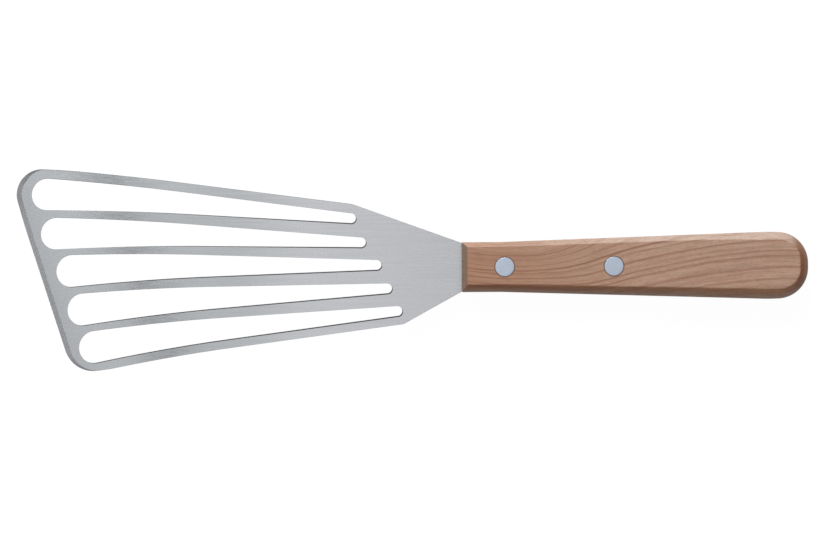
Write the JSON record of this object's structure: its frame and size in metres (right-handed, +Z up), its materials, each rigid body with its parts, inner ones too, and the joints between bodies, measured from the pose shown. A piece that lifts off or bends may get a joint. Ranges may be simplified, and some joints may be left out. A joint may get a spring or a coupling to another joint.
{
  "type": "slotted turner",
  "caption": "Slotted kitchen turner: a skewed, flared steel blade with long tapered drain slots and an upturned ground edge, riveted into a bevelled wooden handle.",
  "frame": {"origin": "under the middle of the whole tool, on the plane of the handle's underside", "axes": "+X along the tool from the ground edge to the handle's end, +Y to the far side of the blade in the picture, +Z up out of the handle's top face, the way the blade's front bends"},
  "size_m": [0.3248, 0.0832, 0.0208],
  "materials": {
    "blade_steel": "stainless sheet, finely brushed lengthwise",
    "handle_wood": "oiled close-grained hardwood",
    "rivet_aluminium": "ground flush, satin"
  },
  "bodies": {
    "root": {"blade": "blade_steel", "handle": "handle_wood", "front_rivet_socket": "rivet_aluminium", "front_rivet_pin": "rivet_aluminium", "rear_rivet_socket": "rivet_aluminium", "rear_rivet_pin": "rivet_aluminium"}
  },
  "joints": []
}
